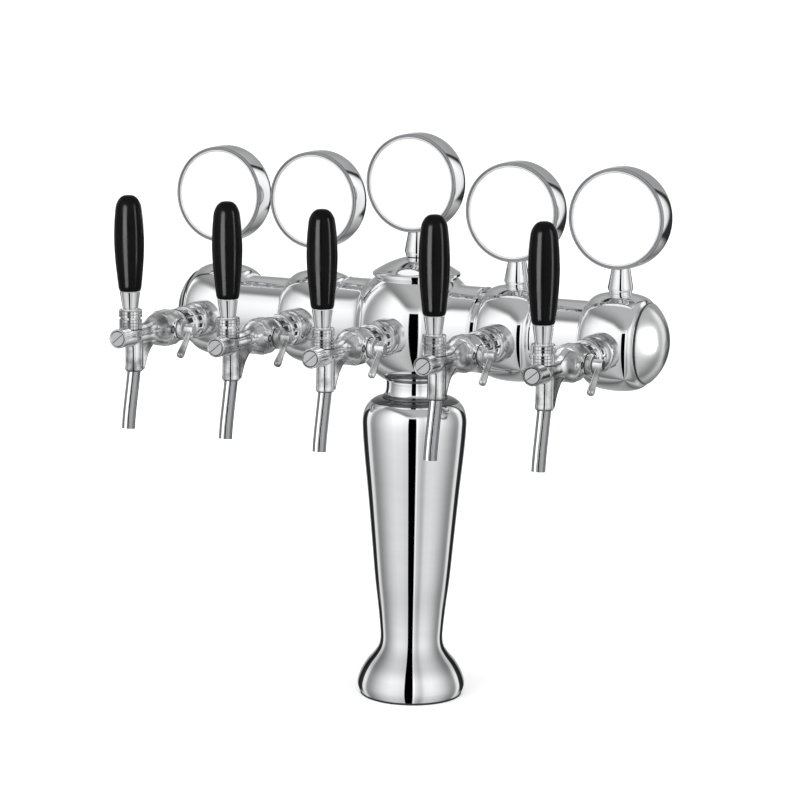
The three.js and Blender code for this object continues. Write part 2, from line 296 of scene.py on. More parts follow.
def bump(tree, shader, height, distance):
    feed(tree, shader, "Normal", addNode(tree, "ShaderNodeBump", None, {
        "Height": height, "Distance": distance, "Strength": 1.0}))


def makePlating(name, shade, roughness, haze, ripple, rippleScale, patch=22, depth=0.965, stretch=4):
    # polished plating: patches that are hazier and darker, down to depth of the shade, and the slow ripple of
    # a hand-polished shell. Where depth is small, as on the cast chrome, the dark patches are painted
    # reflections;
    # elsewhere they are wipe marks
    material, tree, shader, place = startMaterial(name, Metallic=1.0)
    patchMask = noise(tree, place, patch, 3, (1, 1, stretch)).ease(0.35, 0.75)
    specks = noise(tree, place, 900, 1).ease(0.5, 0.8)
    feed(tree, shader, "Roughness", roughness + haze * patchMask + haze * 0.5 * specks)
    feed(tree, shader, "Base Color", tint(tree, patchMask, shade, [depth * part for part in shade]))
    bump(tree, shader, noise(tree, place, rippleScale, 1), ripple)
    return material


# heights in metres; flatten goes from the share of the normal's rise that is kept below to the whole above;
# the last two pairs are where the painted shade on the flare fades in and out
footLook = {"flatten": (0.06, 0.095, 0.35, 1), "flareShadeFrom": (0.02, 0.034), "flareShadeTo": (0.038, 0.056, 1, 0)}


def makeColumnPlating(s):
    # mirror plating; on the foot's flare the normal is laid flatter, so that it mirrors the room and not the
    # ceiling, and half way up the flare a darker base colour is painted on as shade
    material, tree, shader, place = startMaterial("columnChrome", Metallic=1.0)
    level = addNode(tree, "ShaderNodeSeparateXYZ", None, {0: place}, 2)
    # wipe marks, a little darker and hazier
    patchMask = noise(tree, place, 22, 3, (1, 1, 4)).ease(0.35, 0.75)
    facing = Wire(tree, addNode(tree, "ShaderNodeNewGeometry").socket.node.outputs["Normal"])
    squeeze = addNode(tree, "ShaderNodeCombineXYZ", None, {0: 1, 1: 1, 2: level.ease(*s["flatten"])})
    flat = addNode(tree, "ShaderNodeVectorMath", {"operation": "MULTIPLY"}, {0: facing, 1: squeeze})
    flat = addNode(tree, "ShaderNodeVectorMath", {"operation": "NORMALIZE"}, {0: flat})
    # painted shade: the base colour turns darker half way up the flare
    shadow = level.ease(*s["flareShadeFrom"]) * level.ease(*s["flareShadeTo"])
    shade = tint(tree, patchMask, (0.87, 0.875, 0.885), (0.84, 0.845, 0.855))
    feed(tree, shader, "Base Color", addNode(tree, "ShaderNodeMix", {"data_type": "RGBA"},
                                             {0: shadow, 6: shade, 7: (0.52, 0.525, 0.535, 1)}, 2))
    feed(tree, shader, "Roughness", 0.022 + 0.03 * patchMask)
    feed(tree, shader, "Normal", addNode(tree, "ShaderNodeBump", None, {
        "Height": noise(tree, place, 16, 1), "Distance": 0.00006, "Strength": 1.0, "Normal": flat}))
    return material


def makeTubeSteel():
    # drawn tube, polished along its length
    material, tree, shader, place = startMaterial("spoutSteel", Metallic=1.0)
    lines = noise(tree, place, 900, 2, (1, 1, 0.03))
    feed(tree, shader, "Roughness", 0.02 + 0.03 * lines)
    feed(tree, shader, "Base Color", tint(tree, lines, (0.32, 0.325, 0.34), (0.39, 0.395, 0.41)))
    bump(tree, shader, lines, 0.00003)
    return material


def makeTurnedSteel():
    # plain lathe-turned steel, with rings of tool marks round the vertical
    material, tree, shader, place = startMaterial("turnedSteel", Metallic=1.0)
    cloud = noise(tree, place, 60, 3)
    marks = addNode(tree, "ShaderNodeTexWave", {"wave_type": "RINGS", "rings_direction": "Z"},
                    {"Vector": place, "Scale": 400, "Distortion": 0.6})
    feed(tree, shader, "Roughness", 0.26 + 0.16 * cloud)
    feed(tree, shader, "Base Color", tint(tree, cloud, (0.5, 0.51, 0.52), (0.66, 0.67, 0.68)))
    bump(tree, shader, marks, 0.00002)
    return material


def makeGripPlastic():
    # moulded gloss black, with a faint orange peel and handling marks in the gloss
    material, tree, shader, place = startMaterial("gripPlastic", Specular_IOR_Level=0.05)
    cloud = noise(tree, place, 45, 3)
    feed(tree, shader, "Base Color", tint(tree, cloud, (0.0025, 0.0025, 0.003), (0.005, 0.005, 0.0055)))
    feed(tree, shader, "Roughness", 0.13 + 0.1 * cloud.ease(0.35, 0.75))
    bump(tree, shader, noise(tree, place, 420, 1), 0.00002)
    return material


def makeFacePlastic():
    # blank white lens: clear gloss over white
    material, tree, shader, place = startMaterial("facePlastic", Coat_Weight=0.3, Coat_Roughness=0.1)
    cloud = noise(tree, place, 30, 2)
    feed(tree, shader, "Base Color", tint(tree, cloud, (0.93, 0.93, 0.925), (0.96, 0.96, 0.96)))
    feed(tree, shader, "Roughness", 0.3 + 0.15 * cloud)
    bump(tree, shader, noise(tree, place, 700, 1), 0.00001)
    return material


def makeRubber():
    material, tree, shader, place = startMaterial("gasketRubber")
    grain = noise(tree, place, 800, 3)
    feed(tree, shader, "Base Color", tint(tree, grain, (0.014, 0.014, 0.014), (0.03, 0.03, 0.031)))
    feed(tree, shader, "Roughness", 0.7 + 0.2 * grain)
    bump(tree, shader, grain, 0.00015)
    return material


def makeSlotShadeAndJointDark():
    # near black: painted shade on the floors of the slots, and the colour of the dark joint lines
    material, tree, shader, place = startMaterial("slotOxide", Metallic=0.8)
    cloud = noise(tree, place, 300, 3)
    feed(tree, shader, "Base Color", tint(tree, cloud, (0.01, 0.01, 0.011), (0.05, 0.05, 0.052)))
    feed(tree, shader, "Roughness", 0.3 + 0.2 * cloud)
    return material


mirror = makePlating("mirrorChrome", (0.87, 0.875, 0.885), 0.022, 0.03, 0.00006, 16)
# cast chrome: large patches darkened to a fifth of the shade, painted dark reflections at random places
castChrome = makePlating("castChrome", (0.88, 0.885, 0.895), 0.1, 0.08, 0.00014, 60, 62, 0.2, 1)
# a near black copy of the chrome, painted shade where the column's shoulder meets the neck
duskChrome = makePlating("duskChrome", (0.17, 0.172, 0.18), 0.16, 0.08, 0.00004, 40)
columnChrome = makeColumnPlating(footLook)
# a darker copy of the chrome, painted shade on the medallion's outer bead and round the bonnet's pads
rimChrome = makePlating("rimChrome", (0.42, 0.425, 0.445), 0.12, 0.06, 0.00004, 40)
satinChrome = makePlating("satinChrome", (0.82, 0.825, 0.83), 0.22, 0.05, 0.00002, 40)
spoutSteel = makeTubeSteel()
turnedSteel = makeTurnedSteel()
gripPlastic = makeGripPlastic()
facePlastic = makeFacePlastic()
rubber = makeRubber()
slotShadeAndJointDark = makeSlotShadeAndJointDark()
print("finishes made")


# Shaping helpers.

toAxis = {
    "Z": Matrix.Identity(4),
    "Y": Matrix.Rotation(math.radians(-90), 4, "X"),
    "X": Matrix.Rotation(math.radians(90), 4, "Y"),
}


def arc(start, end, rise, steps=16):
    # rows on a circular arc that bulges by rise from start to end
    first, last = Vector(start), Vector(end)
    chord = last - first
    radius = (chord.length ** 2 / 4 + rise ** 2) / (2 * rise)
    half = math.asin(chord.length / 2 / radius)
    outward = Vector((chord.y, -chord.x)).normalized()
    rows = []
    for step in range(steps + 1):
        turn = half * (2 * step / steps - 1)
        along = 0.5 + math.sin(turn) * radius / chord.length
        rows.append(first + chord * along + outward * (rise - radius * (1 - math.cos(turn))))
    return rows


def smooth(rows, perSpan=6):
    # a curve through the rows, its direction at each taken from the neighbours
    points = [Vector(row) for row in rows]
    leans = []
    for index, point in enumerate(points):
        before = points[max(index - 1, 0)]
        after = points[min(index + 1, len(points) - 1)]
        leans.append((after - before).normalized())
    dense = [points[0]]
    for index in range(len(points) - 1):
        start, end = points[index], points[index + 1]
        reach = (end - start).length / 3
        flat = [Vector((*p, 0)) if len(p) == 2 else p for p in
                (start, start + leans[index] * reach, end - leans[index + 1] * reach, end)]
        span = interpolate_bezier(*flat, perSpan + 1)[1:]
        dense += [Vector(p[:len(start)]) for p in span]
    return dense


def spun(rows, axis="Z", at=(0, 0, 0), steps=96, rounding=0.0, corners=(), closed=False):
    # turns an outline round an axis; rows named in corners are rounded off first
    shape = bmesh.new()
    verts = [shape.verts.new((row[0] * mm, 0, row[1] * mm)) for row in rows]
    for one, other in zip(verts, verts[1:]):
        shape.edges.new((one, other))
    if closed:
        shape.edges.new((verts[-1], verts[0]))
    if corners:
        picked = [verts[index] for index in corners]
        bmesh.ops.bevel(shape, geom=picked, offset=rounding * mm, segments=4, profile=0.5, affect="VERTICES",
                        material=-1)
    bmesh.ops.spin(shape, geom=shape.verts[:] + shape.edges[:], cent=(0, 0, 0), axis=(0, 0, 1),
                   angle=math.tau, steps=steps, use_merge=True)
    bmesh.ops.remove_doubles(shape, verts=shape.verts, dist=0.000002)
    bmesh.ops.recalc_face_normals(shape, faces=shape.faces)
    bmesh.ops.transform(shape, matrix=Matrix.Translation(Vector(at) * mm) @ toAxis[axis], verts=shape.verts)
    return shape


def joined(*shapes):
    # puts several shapes into one
    whole = bmesh.new()
    for shape in shapes:
        scrap = bpy.data.meshes.new("scrap")
        shape.to_mesh(scrap)
        shape.free()
        whole.from_mesh(scrap)
        bpy.data.meshes.remove(scrap)
    return whole


def asObject(name, shape, materials, sharpAngle=34):
    mesh = bpy.data.meshes.new(name)
    shape.to_mesh(mesh)
    shape.free()
    for material in materials:
        mesh.materials.append(material)
    mesh.shade_smooth()
    mesh.set_sharp_from_angle(angle=math.radians(sharpAngle))
    piece = bpy.data.objects.new(name, mesh)
    bpy.context.collection.objects.link(piece)
    return piece


def settle(piece, body, *nodes):
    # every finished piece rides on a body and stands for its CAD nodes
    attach(piece, body)
    if nodes:
        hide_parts(*nodes)


def addPiece(name, shape, materials, body, *nodes):
    piece = asObject(name, shape, materials)
    settle(piece, body, *nodes)
    return piece


def middle(node):
    low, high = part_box(node)
    return (low + high) / 2 / mm


# Foot, column and neck.

columnSet = {
    "outside": [(48.5, 2.1), (49.6, 4), (50.7, 7), (51.1, 10), (50.4, 14.5), (47.6, 22), (42.2, 31),
                (35.6, 39), (31.2, 46), (29.6, 54), (30.2, 66), (32.3, 86), (35.5, 112), (39, 150),
                (43.2, 195), (47.6, 238), (49.2, 262), (48.4, 271), (45.6, 278.5), (40.6, 284),
                (34.5, 286.9), (27.4, 287)],
    "inside": [(27.4, 284), (33.8, 283.8), (43.2, 276), (46.4, 262), (45, 238), (32.8, 112), (27.5, 66),
               (27, 54), (28.6, 45), (45.6, 19), (47.6, 12), (46.4, 2.2)],
    "steps": 128, "creaseShadeFrom": 283.2, "creaseShadeTo": 290,
}
neckSet = {
    "flare": [(31.2, 287.3), (30.6, 288.6), (28.4, 291), (27.1, 295.5), (27, 301)],
    "bead": [(27.1, 301.6), (27.2, 302.6), (27, 303.8)],
    "bore": 20, "creaseShadeFrom": 287, "creaseShadeTo": 290.4,
}
gasketSet = {"inner": 42.4, "outer": 48.4, "height": 1.9}


def dim(shape, low, high):
    # the faces between two heights take the second material, a painted shade
    for facet in shape.faces:
        facet.material_index = int(low * mm < facet.calc_center_median().z < high * mm)


def makeColumn(s):
    rows = smooth(s["outside"]) + smooth(s["inside"], 3)
    shell = spun(rows, steps=s["steps"], closed=True)
    dim(shell, s["creaseShadeFrom"], s["creaseShadeTo"])
    addPiece("columnShell", shell, [columnChrome, duskChrome], "tower", "column_shell")


def makeNeck(s):
    rows = [(s["bore"], 280), (27, 280), (27, 287.3)] + smooth(s["flare"]) + smooth(s["bead"], 4)
    rows += [(23.7, 304.1), (23.7, 310), (s["bore"], 310)]
    collar = spun(rows, steps=96, closed=True)
    dim(collar, s["creaseShadeFrom"], s["creaseShadeTo"])
    addPiece("neckCollar", collar, [mirror, duskChrome], "tower", "neck_collar")


def makeGasket(s):
    rows = [(s["inner"], 0), (s["outer"], 0), (s["outer"], s["height"]), (s["inner"], s["height"])]
    shape = spun(rows, steps=96, closed=True, rounding=0.4, corners=(1, 2))
    addPiece("footGasket", shape, [rubber], "tower", "base_gasket")


makeColumn(columnSet)
makeNeck(neckSet)
makeGasket(gasketSet)
print("column made")


# Ball housing, its cap, the drums and the tubes between them.

ballSet = {
    "radius": 59.3, "blendFrom": 42.4, "blend": [(2, 41), (5, 40.3), (10, 40)], "neckEnd": 72.2,
    "lip": [(-3.4, 40), (-3, 39.4), (-2.4, 39.4), (-2, 40.1), (-0.6, 40.3), (0, 39.8), (0, 34.5),
            (2.6, 34.5), (2.6, 0)],
    "ledge": 402, "armZ": 356,
}
capSet = {
    "rim": [(33, 396), (35.6, 396), (35.6, 402.3), (40.2, 402.3), (41.1, 403.1), (41.1, 405.3), (40, 406.6)],
    "domeFoot": (39, 406.9), "top": 421.6, "bulge": 2.6,
}
drumSet = {
    "flank": [(45, 0), (44.5, 10), (43.3, 17), (41.8, 21.4), (39.8, 24.5), (37.65, 25.9)],
    "end": 37, "half": 27.5, "bore": 34.8,
}
endCapSet = {"seat": 231.8, "radius": 36.6, "rise": 17.7, "bulge": 4.7, "seal": (33, 36.8)}


def makeBall(s):
    meet = math.sqrt(s["radius"] ** 2 - s["blendFrom"] ** 2)
    low = s["blendFrom"]
    sag = s["radius"] - math.hypot(meet / 2, (s["radius"] + low) / 2)
    crown = arc((0.001, s["radius"]), (meet, low), -sag, 24)
    blend = smooth([(meet, low)] + [(meet + x, r) for x, r in s["blend"]], 5)[1:]
    half = [(x, r) for x, r in crown] + [(x, r) for x, r in blend]
    half += [(s["neckEnd"] + x, r) for x, r in s["lip"]]
    rows = [(r, -x) for x, r in reversed(half)] + [(r, x) for x, r in half[1:]]
    shape = spun(rows, "X", (0, 0, s["armZ"]), steps=128)
    top = bmesh.ops.bisect_plane(shape, geom=shape.verts[:] + shape.edges[:] + shape.faces[:],
                                 plane_co=(0, 0, s["ledge"] * mm), plane_no=(0, 0, 1), clear_outer=True)
    rim = [item for item in top["geom_cut"] if isinstance(item, bmesh.types.BMEdge)]
    bmesh.ops.contextual_create(shape, geom=rim)
    addPiece("ballHousing", shape, [mirror], "tower", "centre_housing")


def makeCap(s):
    rows = s["rim"] + arc(s["domeFoot"], (0, s["top"]), s["bulge"], 20)
    rows = [(0, 405)] + [(33, 405)] + rows
    addPiece("topCap", spun(rows, steps=96), [mirror], "tower", "top_cap")


def makeDrum(node, s):
    centre = middle(node)
    half = s["half"]
    outer = smooth([(r, -x) for r, x in reversed(s["flank"])] + s["flank"][1:])
    start = [(s["bore"], -half), (s["end"] - 0.6, -half), (s["end"], -half + 0.5),
             (s["end"] - 0.1, -half + 1.1)]
    end = [(r, -y) for r, y in reversed(start)]
    inner = [(s["bore"], half - 2), (42, 12), (42, -12), (s["bore"], 2 - half)]
    rows = start + list(outer) + end + inner
    addPiece(node.replace("_", "") + "Shell", spun(rows, "X", centre, steps=128, closed=True), [mirror],
             "tower", node)


def makeArmTube(node):
    low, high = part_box(node)
    centre = middle(node)
    half = (high.x - low.x) / 2 / mm
    rows = [(32.3, -half), (34.5, -half), (34.5, half), (32.3, half)]
    addPiece(node.replace("_", "") + "Sleeve", spun(rows, "X", centre, steps=128, closed=True), [mirror],
             "tower", node)


def makeEndCap(node, side, s):
    rim = s["seat"] + 1.3
    dome = arc((s["radius"] - 0.2, rim + 0.6), (0, s["seat"] + s["rise"]), s["bulge"] - 0.2, 28)
    rows = [(0, s["seat"] - 3), (34, s["seat"] - 3), (34, rim - 0.4), (s["radius"] - 0.4, rim - 0.4),
            (s["radius"], rim)] + list(dome)
    shape = spun(rows, "X", (0, 0, 0), steps=128)
    if side < 0:
        bmesh.ops.scale(shape, vec=(-1, 1, 1), verts=shape.verts)
        bmesh.ops.recalc_face_normals(shape, faces=shape.faces)
    bmesh.ops.translate(shape, vec=(0, 0, middle(node).z * mm), verts=shape.verts)
    addPiece(node.replace("_", "") + "Dome", shape, [satinChrome], "tower", node)
    low, high = s["seat"] - 0.25, s["seat"] + 1.25
    inner, outer = s["seal"]
    band = spun([(inner, low), (outer, low), (outer, high), (inner, high)], "X", (0, 0, middle(node).z), 96,
                closed=True)
    if side < 0:
        bmesh.ops.scale(band, vec=(-1, 1, 1), verts=band.verts)
        bmesh.ops.recalc_face_normals(band, faces=band.faces)
    addPiece(node.replace("_", "") + "Seal", band, [rubber], "tower")


makeBall(ballSet)
makeCap(capSet)
for side, sign in (("left", -1), ("right", 1)):
    makeDrum(side + "_inner_drum", drumSet)
    makeDrum(side + "_outer_drum", drumSet)
    makeArmTube(side + "_arm_tube")
    makeEndCap(side + "_end_cap", sign, endCapSet)
print("arm made")


# Medallions.

medallionSet = {
    "back": 8.5, "radius": 46.3, "plate": 2,
    "heel": [(41, 8.5), (43.8, 8.1), (45.4, 6.6), (46.1, 4.2), (46.3, 1)],
    "beads": [[(45.6, -15.2), (45.4, -16.4), (44.7, -17), (43.9, -16.5), (43.6, -15.5)],
              [(43.2, -15.4), (43, -16.2), (42.2, -16.7), (41.4, -16.4), (41.1, -15.7)]],
    "seat": 44.2, "seatFront": -15.7, "bezelShadeFrom": 42.6, "bezelShadeBefore": -15.25,
    "stemFoot": 9, "stemTop": 1.6, "sink": 1.6,
    "lensRadius": 43.9, "lensFront": -15.4, "lensBack": -12.4,
}


def makeMedallion(number, s):
    housing = "medallion_housing_%d" % number
    face = "medallion_face_%d" % number
    x = middle(face).x
    centreZ = middle(face).z
    rows = [(0, s["back"])] + smooth(s["heel"], 4) + smooth(s["beads"][0], 4) + smooth(s["beads"][1], 4)
    rows += [(s["seat"], s["seatFront"]), (s["seat"], s["back"] - s["plate"]), (0, s["back"] - s["plate"])]
    ring = spun(rows, "Y", (x, 0, centreZ), steps=160)
    # the front of the outer bead takes the second material, a painted shade
    for facet in ring.faces:
        spot = facet.calc_center_median()
        reach = math.hypot(spot.x - x * mm, spot.z - centreZ * mm)
        facet.material_index = int(spot.y < s["bezelShadeBefore"] * mm and reach > s["bezelShadeFrom"] * mm)
    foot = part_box(housing)[0].z / mm + s["stemFoot"]
    top = centreZ - s["radius"] + s["stemTop"]
    sunk = foot - s["sink"]
    post = [(0, sunk), (10, sunk), (10.4, foot + 0.4), (11.4, foot + 2.2), (11.7, foot + 3), (8.2, top),
            (0, top)]
    stem = spun(post, "Z", (x, 0, 0), steps=64, rounding=0.3, corners=(2, 4))
    addPiece("medallionRing%d" % number, ring, [mirror, rimChrome], "tower", housing)
    addPiece("medallionStem%d" % number, stem, [mirror], "tower")
    front, back = s["lensFront"], s["lensBack"]
    lensRows = [(0, back), (s["lensRadius"], back), (s["lensRadius"], front + 0.8)]
    lensRows += [(s["lensRadius"] - 0.6, front + 0.2), (30, front), (0, front)]
    lens = spun(lensRows, "Y", (x, 0, centreZ), steps=128)
    addPiece("medallionLens%d" % number, lens, [facePlastic], "tower", face)


for number in taps:
    makeMedallion(number, medallionSet)
print("medallions made")


# Taps: every piece is shaped once at x = 0, then set on each shank.

tapZ = 352
castingSet = {
    "barrel": [(0, -197.8), (7.3, -197.8), (7.3, -199.4), (7.7, -200), (8.4, -200), (8.8, -199.3),
               (8.8, -162)],
    "shoulder": [(8.8, -162), (9.1, -151), (10.2, -143.5), (12.6, -136), (14.6, -130.5), (15.4, -127.5)],
    "chest": [(15.4, -127.5), (14.4, -126.4), (15.2, -125.4), (15.6, -122), (15.6, -106), (15.4, -104),
              (14.4, -103), (15.4, -102), (14.9, -98.3), (0, -98.3)],
    "web": [(-171, 347), (-133, 347), (-139.5, 343.4), (-148.5, 338.6), (-154, 333.4), (-157.6, 328),
            (-160.4, 322), (-161.4, 319), (-168, 319)],
    "webThick": 12.6,
    "block": {"sides": 8, "radius": 17.4, "from": -124, "to": -105.6, "turn": 22.5},
    "socket": [(0, 319.5), (7.6, 319.5), (8.2, 320), (8.2, 322.6), (7.9, 323.2), (7.9, 352), (0, 352)],
    "neck": [(0, 350), (9.3, 350), (9.3, 358.6), (0, 358.6)],
    "boss": [(0, 0), (9.4, 0), (9.4, 15.6), (8.9, 16.2), (8.9, 17.2), (9.4, 17.8), (9.4, 21.1), (8.8, 21.7),
             (0, 21.7)],
    "screw": [(0, 8), (4.6, 8), (4.6, 16.6), (4.1, 17.1), (0, 17.1)],
    "voxel": 0.55, "softness": 5,
    "handleY": -176.6, "socketY": -170.8, "chestY": -115, "screwY": -130,
}


def extruded(outline, thick):
    # a [y, z] outline, made solid across x
    shape = bmesh.new()
    verts = [shape.verts.new((-thick / 2 * mm, y * mm, z * mm)) for y, z in outline]
    face = shape.faces.new(verts)
    grown = bmesh.ops.extrude_face_region(shape, geom=[face])
    moved = [item for item in grown["geom"] if isinstance(item, bmesh.types.BMVert)]
    bmesh.ops.translate(shape, vec=(thick * mm, 0, 0), verts=moved)
    bmesh.ops.recalc_face_normals(shape, faces=shape.faces)
    bmesh.ops.bevel(shape, geom=shape.edges[:], offset=1.8 * mm, segments=3, profile=0.5, affect="EDGES",
                    material=-1)
    return shape


def fused(shape, voxel, passes):
    # melts overlapping solids into one skin with soft blends
    lump = asObject("lump", shape, [])
    remesh = lump.modifiers.new("melt", "REMESH")
    remesh.mode = "VOXEL"
    remesh.voxel_size = voxel * mm
    solved = lump.evaluated_get(bpy.context.evaluated_depsgraph_get())
    skin = bpy.data.meshes.new_from_object(solved)
    bpy.data.objects.remove(lump)
    soft = bmesh.new()
    soft.from_mesh(skin)
    bpy.data.meshes.remove(skin)
    for step in range(passes):
        bmesh.ops.smooth_vert(soft, verts=soft.verts, factor=0.5, use_axis_x=True, use_axis_y=True,
                              use_axis_z=True)
    return soft


def flatSided(s):
    # the spanner flats round the chest
    block = bmesh.new()
    bmesh.ops.create_cone(block, cap_ends=True, segments=s["sides"], radius1=s["radius"] * mm,
                          radius2=s["radius"] * mm, depth=(s["to"] - s["from"]) * mm)
    place = Matrix.Translation((0, (s["from"] + s["to"]) / 2 * mm, tapZ * mm))
    turn = Matrix.Rotation(math.radians(s["turn"]), 4, "Y")
    bmesh.ops.transform(block, matrix=place @ turn @ toAxis["Y"], verts=block.verts)
    return block


def makeCasting(s):
    outline = s["barrel"] + smooth(s["shoulder"])[1:] + s["chest"][1:]
    parts = [
        spun(outline, "Y", (0, 0, tapZ), steps=72),
        extruded(s["web"], s["webThick"]),
        spun(s["socket"], "Z", (0, s["socketY"], 0), steps=48),
        spun(s["neck"], "Z", (0, s["handleY"], 0), steps=48),
        spun(s["boss"], "X", (0, s["chestY"], tapZ), steps=48),
        spun(s["screw"], "X", (0, s["screwY"], tapZ + 1), steps=32),
        flatSided(s["block"]),
    ]
    return fused(joined(*parts), s["voxel"], s["softness"])


plugSet = {"radius": 6.4, "face": -199.8, "back": -197.9, "slot": 0.36, "depth": 0.5, "turn": -40}
# dark joint lines on a tap: axis, then its place in y and z, inner and outer radius, and the two ends
seamRings = [
    ("Y", 0, tapZ, (6.2, 7.35), (-198.6, -197.6)),
    ("Y", 0, tapZ, (13, 15.3), (-99, -97.8)),
    ("Z", -176.6, 0, (9.2, 10.3), (358.1, 359.1)),
    ("Z", -170.8, 0, (5.4, 7.5), (319, 319.8)),
    ("X", -130, tapZ + 1, (2.1, 3.4), (16.6, 17.3)),
    ("X", -115, tapZ, (8.6, 9.65), (16.3, 17.1)),
]


def makeSeams(seams):
    rings = []
    for axis, y, z, (inner, outer), (start, end) in seams:
        rows = [(inner, start), (outer, start), (outer, end), (inner, end)]
        rings.append(spun(rows, axis, (0, y, z), 48, closed=True))
    return joined(*rings)


def makePlug(s):
    # slotted disc in the front of the barrel
    disc = bmesh.new()
    bmesh.ops.create_cone(disc, cap_ends=True, segments=64, radius1=s["radius"] * mm,
                          radius2=s["radius"] * mm, depth=(s["back"] - s["face"]) * mm)
    for side in (-1, 1):
        bmesh.ops.bisect_plane(disc, geom=disc.verts[:] + disc.edges[:] + disc.faces[:],
                               plane_co=(0, side * s["slot"] * mm, 0), plane_no=(0, 1, 0))
    strip = [f for f in disc.faces if f.normal.z < -0.9 and abs(f.calc_center_median().y) < s["slot"] * mm]
    pushed = bmesh.ops.extrude_face_region(disc, geom=strip)
    moved = [item for item in pushed["geom"] if isinstance(item, bmesh.types.BMVert)]
    bmesh.ops.translate(disc, vec=(0, 0, s["depth"] * mm), verts=moved)
    bmesh.ops.delete(disc, geom=strip, context="FACES")
    bmesh.ops.recalc_face_normals(disc, faces=disc.faces)
    # the slot's floor takes the second material, a painted shade
    for face in disc.faces:
        if abs(face.calc_center_median().y) < s["slot"] * mm and abs(face.normal.z) > 0.9:
            face.material_index = 1
    turn = Matrix.Rotation(math.radians(s["turn"]), 4, "Y")
    place = Matrix.Translation((0, (s["face"] + s["back"]) / 2 * mm, tapZ * mm)) @ turn @ toAxis["Y"]
    bmesh.ops.transform(disc, matrix=place, verts=disc.verts)
    return disc


bonnetSet = {
    "lower": {"radius": 9.9, "low": 358.9, "high": 367.6, "rows": 3},
    "upper": {"radius": 10.1, "low": 369.6, "high": 375.4, "rows": 2},
    "grooveRadius": 9.1, "top": 376.6, "bore": 8, "knurls": 24, "raise": 0.45, "border": 0.42, "lip": 1.2,
}


def knurledBand(band, s):
    # a band whose squares each stand up as a small pad, open in the middle for the handle's ball
    ring = bmesh.new()
    height = (band["high"] - band["low"]) * mm
    bmesh.ops.create_cone(ring, cap_ends=True, segments=s["knurls"], radius1=band["radius"] * mm,
                          radius2=band["radius"] * mm, depth=height)
    for row in range(1, band["rows"]):
        level = height * (row / band["rows"] - 0.5)
        bmesh.ops.bisect_plane(ring, geom=ring.verts[:] + ring.edges[:] + ring.faces[:],
                               plane_co=(0, 0, level), plane_no=(0, 0, 1))
    sides = [f for f in ring.faces if abs(f.normal.z) < 0.3]
    ends = [f for f in ring.faces if abs(f.normal.z) > 0.9]
    borders = bmesh.ops.inset_individual(ring, faces=sides, thickness=s["border"] * mm,
                                         depth=s["raise"] * mm)
    # the borders round the pads take the second material, painted shade in the grooves
    for facet in borders["faces"]:
        facet.material_index = 1
    bmesh.ops.inset_individual(ring, faces=ends, thickness=s["lip"] * mm)
    bmesh.ops.delete(ring, geom=ends, context="FACES")
    middleZ = (band["high"] + band["low"]) / 2 * mm
    bmesh.ops.translate(ring, vec=(0, castingSet["handleY"] * mm, middleZ), verts=ring.verts)
    return ring


def makeBonnet(s):
    at = (0, castingSet["handleY"], 0)
    groove = s["grooveRadius"]
    core = [(0, 358.5), (groove, 358.5), (groove, 375.2), (10.2, 375.6), (10.4, 376.1), (10.1, s["top"]),
            (9.6, s["top"]), (s["bore"], s["top"] - 3.4), (s["bore"], 366), (0, 366)]
    return joined(knurledBand(s["lower"], s), knurledBand(s["upper"], s), spun(core, "Z", at, steps=64))


nutSet = {
    "front": {"radius": 14.6, "from": -98.2, "to": -83.4, "slots": 12},
    "rear": {"radius": 14.7, "from": -79, "to": -66.8, "slots": 12},
    "ring": [(13, -83.6), (15.6, -83.4), (16.2, -82.8), (16.2, -79.8), (15.6, -79.2), (13, -79)],
    "flange": [(12, -67.2), (14.6, -67.2), (15.6, -66.4), (16.9, -63.2), (17.5, -58.6), (17.6, -54),
               (17.6, -36), (12, -36)],
    "depth": 1.7, "land": 1.6, "sidesEach": 6, "sidesSlot": 4,
}


def slottedBand(band, s):
    # lands and slots round a nut: the sides between the lands are pushed in, and their floors get painted
    # shade
    ring = bmesh.new()
    length = (band["to"] - band["from"]) * mm
    count = band["slots"] * s["sidesEach"]
    bmesh.ops.create_cone(ring, cap_ends=True, segments=count, radius1=band["radius"] * mm,
                          radius2=band["radius"] * mm, depth=length)
    for level in (-0.5 * length + s["land"] * mm, 0.5 * length - s["land"] * mm):
        bmesh.ops.bisect_plane(ring, geom=ring.verts[:] + ring.edges[:] + ring.faces[:],
                               plane_co=(0, 0, level), plane_no=(0, 0, 1))
    slots = []
    for face in ring.faces:
        centre = face.calc_center_median()
        side = math.floor(math.atan2(centre.y, centre.x) / math.tau * count)
        inMiddle = abs(face.normal.z) < 0.3 and abs(centre.z) < length * 0.25
        if inMiddle and side % s["sidesEach"] < s["sidesSlot"]:
            slots.append(face)
    pushed = bmesh.ops.extrude_face_region(ring, geom=slots)
    moved = [item for item in pushed["geom"] if isinstance(item, bmesh.types.BMVert)]
    floors = [item for item in pushed["geom"] if isinstance(item, bmesh.types.BMFace)]
    for vert in moved:
        vert.co.x *= 1 - s["depth"] / band["radius"]
        vert.co.y *= 1 - s["depth"] / band["radius"]
    bmesh.ops.delete(ring, geom=slots, context="FACES")
    # painted shade on the slot floors
    for face in floors:
        face.material_index = 1
    bmesh.ops.recalc_face_normals(ring, faces=ring.faces)
    place = Matrix.Translation((0, (band["from"] + band["to"]) / 2 * mm, tapZ * mm)) @ toAxis["Y"]
    bmesh.ops.transform(ring, matrix=place, verts=ring.verts)
    return ring


def makeNut(s):
    at = (0, 0, tapZ)
    flange = s["flange"][:2] + smooth(s["flange"][1:6])[1:] + s["flange"][6:]
    return joined(slottedBand(s["front"], s), slottedBand(s["rear"], s),
                  spun(s["ring"], "Y", at, steps=72, closed=True),
                  spun(flange, "Y", at, steps=72, closed=True))


